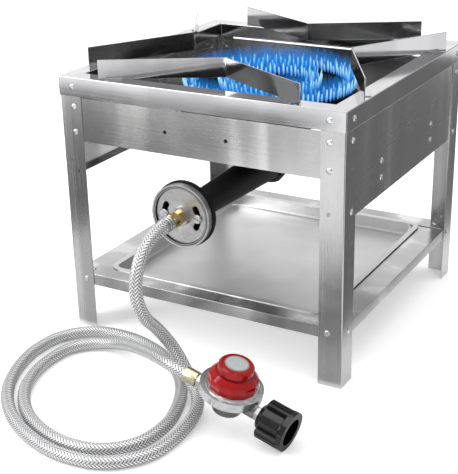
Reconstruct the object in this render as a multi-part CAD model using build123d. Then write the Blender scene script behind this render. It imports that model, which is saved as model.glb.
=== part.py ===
from build123d import *
import math
import os

# Propane burner stove: a folded sheet stand, a cast burner with its venturi and air shutter,
# and a braided hose that ends in an adjustable regulator with a hand-tightened cylinder nut.
# Millimetres, +Z up, the origin on the floor under the middle of the stand, the front towards -Y.

# Stand
stand_width = 406.0
rim_height = 356.0
sheet = 1.2
rim_width = 25.0
rim_flange = 25.0
rim_lip = 18.0
bend_radius = 2.0
rim_round_share = 0.8
edge_reach = 0.01
leg_flange = 32.0
apron_gap = 2.0
front_apron_drop = 85.0
side_apron_drop = 136.0
apron_hem = 10.0
corner_clearance = 0.2

# Fixings
fixing_inset = 21.5
upper_fixing_margin = 12.0
front_fixing_margin = 12.0
side_fixing_margin = 9.0
rivet_sides = 6
rivet_head_radius = 4.0
rivet_head_height = 1.6
rivet_head_taper = 40.0
rivet_shank_radius = 2.0
rivet_tail_radius = 2.9
rivet_tail_height = 1.8
rivet_clearance = 0.1
spare_hole_radius = 2.25
apron_hole_spacing = 87.0
apron_hole_drop = 56.0

# Pot supports
support_height = 25.0
support_thickness = 1.5
support_half_span = 142.0
support_inset = 5.0
support_apex = 119.0
support_bend = 8.0
foot_start = 9.0
foot_length = 22.0
foot_width = 9.0

# Shelf and drip tray
shelf_height = 81.0
rail_face = 16.0
front_rail_width = 31.0
side_rail_width = 41.0
tray_depth = 20.0
tray_sheet = 1.0
tray_lip = 7.0
tray_corner = 12.0
tray_bottom_radius = 4.0
tray_clearance = 1.5

# Burner bars
bar_drop = 82.0
bar_offset = 88.0
bar_width = 26.0
bar_wall = 2.0
bar_depth = 14.0
bar_tab_height = 40.0
bar_tab_margin = 9.0
burner_bolt_spacing = 90.0
burner_bolt_radius = 3.0
burner_bolt_head = 10.0
burner_bolt_head_height = 4.0
burner_bolt_length = 11.0
bolt_clearance = 0.1

# Burner head
head_radius = 124.0
head_rim = 30.0
head_plate = 29.0
head_wall = 4.5
head_boss_radius = 8.0
hub_radius = 30.0
hub_drop = 28.0
outer_ridge_radius = 112.0
outer_ridge_ports = 52
inner_ridge_radius = 64.0
inner_ridge_ports = 30
ridge_foot = 9.0
ridge_crest = 4.5
ridge_height = 18.0
port_width = 2.6
port_depth = 6.5
tooth_step = 0.8
dish_rise = 10.0
centre_boss_radius = 14.0
centre_boss_height = 6.0

# Venturi
venturi_drop = 37.0
inlet_radius = 21.0
spigot_length = 12.0
spigot_clearance = 0.1
riser_radius = 25.0
riser_flange_height = 7.0
elbow_drop = 27.0
tube_wall = 4.5
tube_radius_at_elbow = 24.0
tube_radius_at_bell = 17.5
bell_radius = 42.5
bell_front = 232.0
bell_rim = 6.0
bell_flare = 31.0
bell_steps = 4
bridge_width = 14.0
bridge_thickness = 6.0
bridge_hub_radius = 12.0
bridge_hub_depth = 12.0

# Air shutter and its screws
shutter_radius = 41.0
shutter_thickness = 6.0
shutter_rim_width = 5.0
shutter_rim_height = 2.5
shutter_hub_radius = 12.5
shutter_hub_height = 6.5
shutter_gap = 0.3
slot_count = 2
slot_radius = 24.0
slot_width = 8.0
slot_arc = 60.0
screw_radius = 2.2
screw_head_radius = 5.8
screw_head_height = 3.0

# Orifice fitting, swivel nut and ferrule at the burner end
running_clearance = 0.05
fitting_shank_radius = 8.0
fitting_thread_radius = 6.0
fitting_tip_radius = 3.2
fitting_tip_length = 7.0
fitting_hex = 15.0
fitting_hex_length = 8.0
fitting_nose_radius = 6.5
fitting_nose_length = 9.0
orifice_radius = 1.2
swivel_hex = 18.0
swivel_length = 12.0
ferrule_radius = 9.7
ferrule_length = 16.0
ferrule_wall = 4.0
seat_clearance = 0.1

# Hose
hose_diameter = 16.0
hose_sides = 8
hose_gap_least = 0.4
hose_end_run = 40.0

# Regulator
regulator_centre = (125.9, -348.3, 44.2)
regulator_heading = -3.2
regulator_pitch = 14.0
body_depth = 16.0
body_base_radius = 17.0
body_waist_radius = 20.0
body_waist_depth = 9.6
body_wall = 4.5
body_flange_radius = 35.5
body_flange_level = 9.6
body_flange_thickness = 4.0
boss_radius = 8.0
boss_reach = 38.0
nipple_radius = 6.0
nipple_depth = 14.0
nipple_hex = 15.0
nipple_hex_length = 5.0
outlet_reach = 44.0
outlet_ferrule_length = 18.0
diaphragm_thickness = 1.2
diaphragm_plate_radius = 18.0
diaphragm_plate_thickness = 1.5
plate_side_room = 2.0
plate_headroom = 1.0
bonnet_flange_thickness = 2.8
bonnet_height = 22.0
bonnet_rise = 1.2
bonnet_neck_radius = 14.5
bonnet_wall = 2.0
clamp_radius = 37.5
clamp_lip = 4.3
clamp_step_gap = 1.0
clamp_thickness = 1.3
spring_outer_radius = 10.5
spring_inner_radius = 8.0
spring_length = 10.0
spring_nut_radius = 11.5
spring_nut_thickness = 4.0
spring_nut_clearance = 0.5
stem_radius = 4.0
stem_overrun = 3.0

# Regulator knob
knob_sides = 12
knob_radius = 29.5
knob_lift = 0.7
knob_skirt_height = 12.0
knob_shoulder_radius = 23.5
knob_shoulder_height = 7.0
knob_groove_radius = 19.0
knob_groove_height = 2.5
knob_cap_radius = 21.0
knob_cap_height = 8.0
knob_cap_bevel = 2.0
knob_wall = 4.0
knob_headroom = 1.0
knob_disc_radius = 14.2
knob_disc_thickness = 0.6

# Cylinder nut
nut_back = 44.5
nut_length = 40.0
nut_core_radius = 19.0
nut_neck_radius = 14.0
nut_neck_length = 6.0
nut_collar_radius = 24.2
nut_collar_length = 6.5
nut_collar_slope = 3.0
nut_lobes = 3
nut_lobe_angle = 55.0
nut_ribs_per_lobe = 3
nut_rib_step = 14.0
nut_rib_width = 4.2
nut_back_wall = 8.0
nut_counterbore_radius = 11.5
nut_counterbore_length = 11.5
nut_socket_radius = 16.5
nut_running_clearance = 0.06
nipple_flange_radius = 9.5
nipple_flange_thickness = 4.0
nipple_nose_radius = 4.5
nipple_nose_length = 6.5
end_play = 0.5

# Places that follow from the sizes above
half_width = stand_width / 2
bar_top = rim_height - bar_drop
hub_level = bar_top - hub_drop
venturi_height = hub_level - venturi_drop
leg_face = half_width - sheet
apron_face = leg_face - sheet
panel_half = apron_face - sheet - corner_clearance
fixing_line = half_width - fixing_inset
rim_fixing_depth = rim_flange / 2
upper_fixing_depth = rim_flange + apron_gap + upper_fixing_margin
front_fixing_depth = front_apron_drop - front_fixing_margin
side_fixing_depth = side_apron_drop - side_fixing_margin
shelf_fixing_depth = rim_height - shelf_height + rail_face / 2
side_turns = {"front": 0, "right": 90, "back": 180, "left": 270}
bottom = (Align.CENTER, Align.CENTER, Align.MIN)
hose_radius = hose_diameter / 2


def turned(points):
    """Solid of revolution about Z from (radius, height) points."""
    return revolve(Plane.XZ * make_face(Polyline(*points, close=True)), Axis.Z)


def rod(radius, start, end):
    """Cylinder along Z from start to end."""
    return Pos(0, 0, start) * Cylinder(radius, end - start, align=bottom)


def hexagon(across_flats, start, end):
    """Hexagonal prism along Z from start to end."""
    section = RegularPolygon(across_flats / 2, 6, major_radius=False)
    return Pos(0, 0, start) * extrude(section, end - start)


def facing_out(along, depth, out=half_width):
    """Place on the front side, with Z pointing away from the stand."""
    return Pos(along, -out, rim_height - depth) * Rot(90, 0, 0)


def on_side(side):
    """Turn that carries the front side to another side of the square stand."""
    return Rot(0, 0, side_turns[side])


def lower_fixing_depth(side):
    """Depth of the lower apron fixing, which follows the apron's drop."""
    if side == "front":
        return front_fixing_depth
    return side_fixing_depth


def spare_fixing_depth(side):
    """Depth of the leg hole that this side leaves empty."""
    if side == "front":
        return side_fixing_depth
    return front_fixing_depth


# Fixings of the sheet metal

def rivet(grip):
    """Blind rivet along Z with its head on z = 0 and its tail below the grip."""
    head = extrude(RegularPolygon(rivet_head_radius, rivet_sides), rivet_head_height, taper=rivet_head_taper)
    shank = Pos(0, 0, -grip) * extrude(RegularPolygon(rivet_shank_radius, rivet_sides), grip)
    tail_section = RegularPolygon(rivet_tail_radius, rivet_sides)
    tail = Pos(0, 0, -grip - rivet_tail_height) * extrude(tail_section, rivet_tail_height)
    return head + shank + tail


def fixing_hole(reach):
    """Cutter for a rivet's hole, reaching both ways from z = 0."""
    section = RegularPolygon(rivet_shank_radius + rivet_clearance, rivet_sides)
    return extrude(section, reach, both=True)


def spare_hole(reach):
    """Cutter for a round hole that stays empty."""
    return Cylinder(spare_hole_radius, 2 * reach)


def make_frame_rivets():
    pieces = []
    for side in side_turns:
        for along in (-fixing_line, fixing_line):
            place = on_side(side) * facing_out(along, rim_fixing_depth)
            pieces.append(place * rivet(2 * sheet))
            for depth in (upper_fixing_depth, lower_fixing_depth(side)):
                place = on_side(side) * facing_out(along, depth, leg_face)
                pieces.append(place * rivet(2 * sheet))
    return Compound(pieces)


def make_shelf_rivets():
    pieces = []
    for side in side_turns:
        for along in (-fixing_line, fixing_line):
            place = on_side(side) * facing_out(along, shelf_fixing_depth, leg_face)
            pieces.append(place * rivet(2 * sheet))
    for place in shelf_corner_places():
        pieces.append(place * rivet(2 * sheet))
    return Compound(pieces)


def make_bar_rivets():
    pieces = []
    for side in ("left", "right"):
        for place in bar_fixing_places(side):
            pieces.append(place * rivet(sheet + bar_wall))
    return Compound(pieces)


# Folded sheet of the stand

def make_top_frame():
    inner_width = stand_width - 2 * rim_width
    outline = RectangleRounded(stand_width, stand_width, bend_radius)
    flange = extrude(outline - Rectangle(stand_width - 2 * sheet, stand_width - 2 * sheet), rim_flange)
    lip_outline = Rectangle(inner_width + 2 * sheet, inner_width + 2 * sheet)
    lip = extrude(lip_outline - Rectangle(inner_width, inner_width), rim_lip)
    plate = extrude(outline - Rectangle(inner_width, inner_width), sheet)
    frame = Pos(0, 0, rim_height - rim_flange) * flange
    frame += Pos(0, 0, rim_height - rim_lip) * lip
    frame += Pos(0, 0, rim_height - sheet) * plate
    top_edges = frame.edges().filter_by_position(Axis.Z, rim_height - edge_reach, rim_height + edge_reach)
    frame = fillet(top_edges, rim_round_share * sheet)
    for side in side_turns:
        for along in (-fixing_line, fixing_line):
            frame -= on_side(side) * facing_out(along, rim_fixing_depth) * fixing_hole(2 * sheet)
    return frame


def make_leg(side, previous_side):
    """Angle leg at the left end of a side, seen from outside; it also carries the side before it."""
    square = Pos(-leg_face, -leg_face) * Rectangle(leg_flange, leg_flange, align=Align.MIN)
    inside = Pos(-apron_face, -apron_face) * Rectangle(leg_flange, leg_flange, align=Align.MIN)
    section = square - inside
    outer_corner = section.vertices().sort_by(lambda corner: corner.X + corner.Y)[0]
    leg = extrude(fillet(outer_corner, bend_radius), rim_height - sheet)
    flanges = [(side, Rot(0, 0, 0), -fixing_line), (previous_side, Rot(0, 0, -90), fixing_line)]
    for flange_side, turn, along in flanges:
        depths = (rim_fixing_depth, upper_fixing_depth, lower_fixing_depth(flange_side), shelf_fixing_depth)
        for depth in depths:
            leg -= turn * facing_out(along, depth, leg_face) * fixing_hole(2 * sheet)
        spare_place = turn * facing_out(along, spare_fixing_depth(flange_side), leg_face)
        leg -= spare_place * spare_hole(2 * sheet)
    return on_side(side) * leg


def bar_fixing_places(side):
    """Two fixings for each burner bar on a side apron."""
    places = []
    for along in (-bar_offset, bar_offset):
        for drop in (bar_tab_margin, bar_tab_height - bar_tab_margin):
            places.append(on_side(side) * facing_out(along, bar_drop + drop, apron_face))
    return places


def make_apron(side):
    """Panel behind the leg flanges with a stiffening hem folded inward along its lower edge."""
    drop = front_apron_drop if side == "front" else side_apron_drop
    top = rim_height - rim_flange - apron_gap
    low = rim_height - drop
    front_edge = (Align.CENTER, Align.MIN, Align.MIN)
    panel = Pos(0, -apron_face, low) * Box(2 * panel_half, sheet, top - low, align=front_edge)
    hem_half = panel_half - apron_hem - corner_clearance
    panel += Pos(0, -apron_face, low) * Box(2 * hem_half, apron_hem, sheet, align=front_edge)
    for along in (-fixing_line, fixing_line):
        for depth in (upper_fixing_depth, lower_fixing_depth(side)):
            panel -= facing_out(along, depth, apron_face) * fixing_hole(2 * sheet)
    if side == "front":
        for along in (-apron_hole_spacing / 2, apron_hole_spacing / 2):
            panel -= facing_out(along, apron_hole_drop, apron_face) * spare_hole(2 * sheet)
    panel = on_side(side) * panel
    if side in ("left", "right"):
        for place in bar_fixing_places(side):
            panel -= place * fixing_hole(2 * sheet)
    return panel


def make_pot_support(side):
    """V of upright strip on the rim, its point towards the flame, with a small foot at each end."""
    reach = half_width - support_inset
    end = Vector(support_half_span, -reach)
    apex = Vector(0, -support_apex)
    line = FilletPolyline((-end.X, end.Y), (apex.X, apex.Y), (end.X, end.Y), radius=support_bend)
    strip = Pos(0, 0, rim_height) * extrude(trace(line, line_width=support_thickness), support_height)
    run = apex - end
    turn = math.degrees(math.atan2(run.Y, run.X))
    foot_place = Pos(end.X, end.Y, rim_height) * Rot(0, 0, turn) * Pos(foot_start, 0, 0)
    foot = foot_place * Box(foot_length, foot_width, support_thickness, align=Align.MIN)
    return on_side(side) * (strip + foot + mirror(foot, about=Plane.YZ))


# Shelf and drip tray

def shelf_corner_places():
    """Upright fixings where the front and back rails lie on the side rails."""
    across = apron_face - front_rail_width / 2
    places = []
    for x in (-fixing_line, fixing_line):
        for y in (-across, across):
            places.append(Pos(x, y, shelf_height))
    return places


def make_shelf_rail(side):
    """Angle rail between two legs; the side rails pass under the front and back ones."""
    top = shelf_height
    width = front_rail_width
    if side in ("left", "right"):
        top = shelf_height - sheet
        width = side_rail_width
    upper_edge = (Align.CENTER, Align.MIN, Align.MAX)
    low = shelf_height - rail_face
    rail = Pos(0, -apron_face, top) * Box(2 * panel_half, sheet, top - low, align=upper_edge)
    rail += Pos(0, -apron_face, top) * Box(2 * panel_half, width, sheet, align=upper_edge)
    for along in (-fixing_line, fixing_line):
        rail -= facing_out(along, shelf_fixing_depth, apron_face) * fixing_hole(2 * sheet)
    rail = on_side(side) * rail
    for place in shelf_corner_places():
        rail -= place * fixing_hole(3 * sheet)
    return rail


def make_drip_tray():
    """Pressed pan that drops into the shelf's opening and hangs by its lip on the rails."""
    width = 2 * (apron_face - side_rail_width - tray_clearance)
    length = 2 * (apron_face - front_rail_width - tray_clearance)
    lip_outline = RectangleRounded(width + 2 * tray_lip, length + 2 * tray_lip, tray_corner + tray_lip)
    pan = extrude(RectangleRounded(width, length, tray_corner), tray_depth)
    pan = fillet(pan.edges().group_by(Axis.Z)[0], tray_bottom_radius)
    inside_outline = RectangleRounded(width - 2 * tray_sheet, length - 2 * tray_sheet, tray_corner - tray_sheet)
    inside = Pos(0, 0, tray_sheet) * extrude(inside_outline, tray_depth)
    inside = fillet(inside.edges().group_by(Axis.Z)[0], tray_bottom_radius - tray_sheet)
    lip = Pos(0, 0, tray_depth - tray_sheet) * extrude(lip_outline, tray_sheet)
    return Pos(0, 0, shelf_height + tray_sheet - tray_depth) * (pan + lip - inside)


# Burner bars

def burner_bolt_places(y):
    """Two bolts in the bar at this y, on the underside of the bar's top wall."""
    return [Pos(x, y, bar_top - bar_wall) for x in (-burner_bolt_spacing / 2, burner_bolt_spacing / 2)]


def make_burner_bar(y):
    """Inverted channel from side to side, with a tab at each end that is riveted to the apron."""
    half_length = apron_face - sheet
    outside = Box(2 * half_length, bar_width, bar_depth, align=(Align.CENTER, Align.CENTER, Align.MAX))
    inside = Pos(0, 0, -bar_wall) * Box(2 * half_length, bar_width - 2 * bar_wall, bar_depth,
                                        align=(Align.CENTER, Align.CENTER, Align.MAX))
    bar = Pos(0, y, bar_top) * (outside - inside)
    tab = Box(bar_wall, bar_width, bar_tab_height, align=(Align.MAX, Align.CENTER, Align.MAX))
    tab = Pos(half_length, y, bar_top) * tab
    bar += tab + mirror(tab, about=Plane.YZ)
    for side in ("left", "right"):
        for place in bar_fixing_places(side):
            bar -= place * fixing_hole(sheet + 2 * bar_wall)
    for place in burner_bolt_places(y):
        bar -= place * Cylinder(burner_bolt_radius + bolt_clearance, 3 * bar_wall)
    return bar


def make_burner_bolts():
    """Hexagon bolts from below, through the bars into the burner's bosses."""
    pieces = []
    for y in (-bar_offset, bar_offset):
        for place in burner_bolt_places(y):
            bolt = hexagon(burner_bolt_head, -burner_bolt_head_height, 0)
            bolt += rod(burner_bolt_radius, 0, burner_bolt_length)
            pieces.append(place * bolt)
    return Compound(pieces)


# Burner head

def port_teeth(radius, count, level):
    """Blocks around a ridge's crest that leave a slit between each two."""
    tooth_width = 2 * math.pi * (radius - ridge_crest) / count - port_width
    tooth = Box(2 * ridge_crest - tooth_step, tooth_width, port_depth, align=bottom)
    return [Pos(0, 0, level) * place * tooth for place in PolarLocations(radius, count)]


def make_burner_head():
    """Hollow casting: a dished bowl closed by a plate with two ported ridges."""
    rim_level = bar_top + head_rim
    plate_level = bar_top + head_plate
    slit_level = plate_level + ridge_height - port_depth
    dish_level = bar_top + head_wall
    edge_level = dish_level + dish_rise
    boss_level = plate_level + centre_boss_height
    dish_radius = bar_offset - bar_width / 2
    outside = [(0, hub_level), (hub_radius, hub_level), (hub_radius, hub_level + dish_rise)]
    outside += [(dish_radius, dish_level), (head_radius, edge_level), (head_radius, rim_level)]
    for radius in (outer_ridge_radius, inner_ridge_radius):
        outside += [(radius + ridge_foot, plate_level), (radius + ridge_crest, slit_level)]
        outside += [(radius - ridge_crest, slit_level), (radius - ridge_foot, plate_level)]
    outside += [(centre_boss_radius, plate_level), (centre_boss_radius, boss_level), (0, boss_level)]
    head = turned(outside)
    for y in (-bar_offset, bar_offset):
        for place in burner_bolt_places(y):
            head += place * rod(head_boss_radius, bar_wall, bar_wall + burner_bolt_length)
            head -= place * rod(burner_bolt_radius + bolt_clearance, 0, burner_bolt_length + bolt_clearance)
    roof = plate_level - head_wall
    dish_floor = hub_level + dish_rise + head_wall
    head -= turned([(0, hub_level), (inlet_radius, hub_level), (inlet_radius, dish_floor), (hub_radius, dish_floor),
                    (dish_radius, dish_level + head_wall), (head_radius - head_wall, edge_level + head_wall),
                    (head_radius - head_wall, roof), (0, roof)])
    passage = ridge_crest / 2
    for radius in (outer_ridge_radius, inner_ridge_radius):
        head -= rod(radius + passage, roof, slit_level) - rod(radius - passage, roof, slit_level)
    head += port_teeth(outer_ridge_radius, outer_ridge_ports, slit_level)
    head += port_teeth(inner_ridge_radius, inner_ridge_ports, slit_level)
    return head


# Venturi and air shutter, along an axis that points out of the front

front_axis = Pos(0, 0, venturi_height) * Rot(90, 0, 0)
bridge_seat = bell_front
shutter_back = bell_front + shutter_gap
shutter_face = shutter_back + shutter_thickness
hub_front = shutter_face + shutter_hub_height
hex_back = hub_front + shutter_gap
hex_front = hex_back + fitting_hex_length
swivel_front = hex_front + swivel_length
ferrule_front = swivel_front + ferrule_length
hose_start = swivel_front + ferrule_wall


def venturi_form(elbow_radius, wall):
    """Tapered tube and bell, thinner by wall, from the elbow to the front."""
    throat = bell_front - bell_rim - bell_flare
    neck = tube_radius_at_bell - wall
    points = [(0, 0), (elbow_radius, 0)]
    for step in range(bell_steps + 1):
        share = step / bell_steps
        points.append((neck + (bell_radius - tube_radius_at_bell) * share ** 2, throat + bell_flare * share))
    points += [(bell_radius - wall, bell_front), (0, bell_front)]
    return turned(points)


def screw_places():
    """Two screws in the shutter's slots, left and right of its hub."""
    return [Pos(x, 0, 0) for x in (-slot_radius, slot_radius)]


def make_venturi_tube():
    """Casting from the bell to the elbow under the burner, with a bridge across the bell's mouth."""
    flange_low = venturi_drop - riser_flange_height
    tube = front_axis * venturi_form(tube_radius_at_elbow, 0)
    spigot = inlet_radius - spigot_clearance
    spigot_top = venturi_drop + spigot_length
    riser = turned([(0, -elbow_drop), (elbow_drop / 2, -elbow_drop), (riser_radius, -elbow_drop / 2),
                    (riser_radius, flange_low), (hub_radius, flange_low), (hub_radius, venturi_drop),
                    (spigot, venturi_drop), (spigot, spigot_top), (0, spigot_top)])
    tube += Pos(0, 0, venturi_height) * riser
    tube -= Pos(0, 0, venturi_height) * rod(inlet_radius - tube_wall, -elbow_drop / 2, spigot_top)
    tube -= front_axis * venturi_form(tube_radius_at_bell - tube_wall, tube_wall)
    bridge = Pos(0, 0, bridge_seat - bridge_thickness) * Box(
        2 * bell_radius - tube_wall, bridge_width, bridge_thickness, align=bottom)
    bridge += rod(bridge_hub_radius, bridge_seat - bridge_hub_depth, bridge_seat)
    bridge -= rod(fitting_thread_radius + seat_clearance, bridge_seat - bridge_hub_depth, bridge_seat)
    for place in screw_places():
        bridge -= place * rod(screw_radius + seat_clearance, bridge_seat - bridge_thickness, bridge_seat)
    return tube + front_axis * bridge


def make_air_shutter():
    """Cast disc that turns on the orifice fitting; its curved slots meter the air."""
    disc = rod(shutter_radius, shutter_back, shutter_face)
    disc += rod(shutter_radius, shutter_face, shutter_face + shutter_rim_height)
    disc -= rod(shutter_radius - shutter_rim_width, shutter_face, shutter_face + shutter_rim_height)
    disc += rod(shutter_hub_radius, shutter_face, hub_front)
    disc -= rod(fitting_shank_radius + running_clearance, shutter_back, hub_front)
    for number in range(slot_count):
        path = CenterArc((0, 0), slot_radius, number * 360 / slot_count - slot_arc / 2, slot_arc)
        slot = extrude(SlotArc(path, slot_width), shutter_thickness)
        disc -= Pos(0, 0, shutter_back) * slot
    return front_axis * disc


def make_shutter_screws():
    """Pan head screws that hold the shutter's setting."""
    pieces = []
    for place in screw_places():
        head_back = shutter_face + shutter_gap
        head = rod(screw_head_radius, head_back, head_back + screw_head_height)
        head = chamfer(head.edges().group_by(Axis.Z)[-1], screw_head_height / 3)
        screw = head + rod(screw_radius, bridge_seat - bridge_thickness, head_back)
        pieces.append(front_axis * place * screw)
    return Compound(pieces)


def make_orifice_fitting():
    """Brass spud screwed into the bridge; the shutter runs on its shank."""
    thread_back = bridge_seat - bridge_hub_depth
    tip_back = thread_back - fitting_tip_length
    fitting = rod(fitting_shank_radius, bridge_seat, hex_back)
    fitting += rod(fitting_thread_radius, thread_back, bridge_seat)
    fitting += turned([(0, tip_back), (fitting_tip_radius, tip_back), (fitting_thread_radius, thread_back),
                       (0, thread_back)])
    fitting += hexagon(fitting_hex, hex_back, hex_front)
    fitting += rod(fitting_nose_radius, hex_front, hex_front + fitting_nose_length)
    fitting -= rod(orifice_radius, tip_back, hex_front + fitting_nose_length)
    return front_axis * fitting


def make_hose_swivel_nut():
    nut = hexagon(swivel_hex, hex_front, swivel_front)
    nut -= rod(fitting_nose_radius + seat_clearance, hex_front, hex_front + fitting_nose_length + seat_clearance)
    return front_axis * nut


def crimped_ferrule(start, end):
    """Crimped sleeve along Z whose open end, at end, takes the hose."""
    inward = 1 if end > start else -1
    sleeve = rod(ferrule_radius, min(start, end), max(start, end))
    socket_start = start + inward * ferrule_wall
    sleeve -= rod(hose_radius + running_clearance, min(socket_start, end), max(socket_start, end))
    return sleeve


def make_hose_ferrule_burner():
    return front_axis * crimped_ferrule(swivel_front, ferrule_front)


# Regulator, in its own frame: X along the gas line towards the cylinder, Z along the knob's axis

heading = math.radians(regulator_heading)
pitch = math.radians(regulator_pitch)
regulator_line = Vector(math.cos(pitch) * math.cos(heading), math.cos(pitch) * math.sin(heading), -math.sin(pitch))
regulator_axis = Vector(math.sin(pitch) * math.cos(heading), math.sin(pitch) * math.sin(heading), math.cos(pitch))
regulator_place = Plane(origin=regulator_centre, x_dir=regulator_line, z_dir=regulator_axis).location
gas_line = regulator_place * Rot(0, 90, 0)
flange_top = body_flange_level + body_flange_thickness
diaphragm_top = flange_top + diaphragm_thickness
plate_top = diaphragm_top + diaphragm_plate_thickness
spring_top = plate_top + spring_length
bonnet_top = diaphragm_top + bonnet_height
spring_bore = spring_nut_radius + spring_nut_clearance
bonnet_shoulder = diaphragm_top + bonnet_flange_thickness
knob_base = bonnet_shoulder + bonnet_rise + knob_lift
knob_shoulder_top = knob_base + knob_skirt_height + knob_shoulder_height
knob_cap_base = knob_shoulder_top + knob_groove_height
knob_top = knob_cap_base + knob_cap_height
stem_bottom = spring_top - stem_overrun
stem_top = knob_top - knob_wall
nipple_inner_end = boss_reach - nipple_depth
hose_end = outlet_reach + ferrule_wall


def regulator_point(along):
    """Point on the regulator's gas line."""
    return Vector(*regulator_centre) + regulator_line * along


def make_regulator_body():
    """Die-cast lower half with a boss for each pipe and an open gas chamber."""
    seat_radius = body_flange_radius - 2 * body_wall
    body = turned([(0, -body_depth), (body_base_radius, -body_depth), (body_waist_radius, -body_waist_depth),
                   (seat_radius + body_wall, body_flange_level), (body_flange_radius, body_flange_level),
                   (body_flange_radius, flange_top), (0, flange_top)])
    for turn in (90, -90):
        body += Rot(0, turn, 0) * rod(boss_radius, 0, boss_reach)
    body -= rod(body_base_radius - body_wall, body_wall - body_depth, flange_top)
    body -= rod(seat_radius, body_flange_level, flange_top)
    for turn in (90, -90):
        body -= Rot(0, turn, 0) * rod(nipple_radius + seat_clearance, nipple_inner_end, boss_reach)
        body -= Rot(0, turn, 0) * rod(orifice_radius, 0, nipple_inner_end)
    return regulator_place * body


def make_diaphragm():
    return regulator_place * rod(body_flange_radius, flange_top, diaphragm_top)


def make_diaphragm_plate():
    return regulator_place * rod(diaphragm_plate_radius, diaphragm_top, plate_top)


def make_regulator_bonnet():
    """Upper half: flange, low step and a neck that guides the spring."""
    step_radius = clamp_radius - clamp_lip - clamp_step_gap
    roof = bonnet_shoulder + bonnet_rise
    stem_bore = stem_radius + running_clearance
    bonnet = turned([(0, diaphragm_top), (body_flange_radius, diaphragm_top), (body_flange_radius, bonnet_shoulder),
                     (step_radius, bonnet_shoulder), (step_radius - bonnet_rise, roof), (bonnet_neck_radius, roof),
                     (bonnet_neck_radius, bonnet_top), (0, bonnet_top)])
    bonnet -= rod(spring_bore, diaphragm_top, bonnet_top - bonnet_wall)
    bonnet -= rod(stem_bore, bonnet_top - bonnet_wall, bonnet_top)
    bonnet -= rod(diaphragm_plate_radius + plate_side_room, diaphragm_top, plate_top + plate_headroom)
    return regulator_place * bonnet


def make_clamp_ring():
    """Rolled ring that holds the two halves and the diaphragm between them."""
    low = body_flange_level - clamp_thickness
    high = bonnet_shoulder + clamp_thickness
    inner = clamp_radius - clamp_lip
    groove = body_flange_radius + seat_clearance
    ring = turned([(inner, low), (clamp_radius, low), (clamp_radius, high), (inner, high),
                   (inner, high - clamp_thickness), (groove, high - clamp_thickness),
                   (groove, low + clamp_thickness), (inner, low + clamp_thickness)])
    return regulator_place * ring


def make_adjusting_spring():
    """Plain sleeve in the space of the hidden spring."""
    spring = rod(spring_outer_radius, plate_top, spring_top)
    return regulator_place * (spring - rod(spring_inner_radius, plate_top, spring_top))


def make_spring_nut():
    """Nut on the stem that presses the spring as the knob turns."""
    nut = rod(spring_nut_radius, spring_top, spring_top + spring_nut_thickness)
    nut -= rod(stem_radius + running_clearance, spring_top, spring_top + spring_nut_thickness)
    return regulator_place * nut


def make_adjusting_stem():
    return regulator_place * rod(stem_radius, stem_bottom, stem_top)


def make_regulator_knob():
    """Twelve-sided skirt under a cone, a dark groove and a bevelled cap; open below for the neck."""
    skirt_top = knob_base + knob_skirt_height
    prism = Pos(0, 0, knob_base) * extrude(RegularPolygon(knob_radius, knob_sides), knob_shoulder_top - knob_base)
    cone = turned([(0, knob_base), (knob_radius, knob_base), (knob_radius, skirt_top),
                   (knob_shoulder_radius, knob_shoulder_top), (0, knob_shoulder_top)])
    cap = turned([(0, knob_shoulder_top), (knob_groove_radius, knob_shoulder_top),
                  (knob_groove_radius, knob_cap_base), (knob_cap_radius, knob_cap_base),
                  (knob_cap_radius, knob_top - knob_cap_bevel), (knob_cap_radius - knob_cap_bevel, knob_top),
                  (0, knob_top)])
    inside = rod(knob_radius - knob_wall, knob_base, skirt_top - knob_wall)
    inside += rod(knob_shoulder_radius - knob_wall, knob_base, bonnet_top + knob_headroom)
    hole = rod(stem_radius + running_clearance, bonnet_top, stem_top)
    return regulator_place * ((prism & cone) + cap - inside - hole)


def make_knob_cap_disc():
    return regulator_place * rod(knob_disc_radius, knob_top, knob_top + knob_disc_thickness)


def nipple_blank():
    """Shank in the body's boss with a hexagon against the boss's face."""
    blank = rod(nipple_radius, nipple_inner_end, boss_reach)
    return blank + hexagon(nipple_hex, boss_reach, boss_reach + nipple_hex_length)


def make_inlet_nipple():
    """Nipple towards the cylinder; its flange holds the nut, its nose seals in the valve."""
    flange_back = nut_back + nut_back_wall + end_play
    flange_front = flange_back + nipple_flange_thickness
    nipple = nipple_blank() + rod(nipple_radius, boss_reach, flange_back)
    nipple += rod(nipple_flange_radius, flange_back, flange_front)
    nipple += rod(nipple_nose_radius, flange_front, flange_front + nipple_nose_length)
    nipple -= rod(orifice_radius, nipple_inner_end, flange_front + nipple_nose_length)
    return gas_line * nipple


def make_outlet_nipple():
    """Nipple towards the hose, crimped into its ferrule."""
    nipple = nipple_blank() + rod(nipple_radius, boss_reach, outlet_reach)
    nipple -= rod(orifice_radius, nipple_inner_end, outlet_reach)
    return gas_line * Rot(0, 180, 0) * nipple


def make_hose_ferrule_regulator():
    sleeve = crimped_ferrule(-outlet_reach, -outlet_reach - outlet_ferrule_length)
    return gas_line * sleeve


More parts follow.
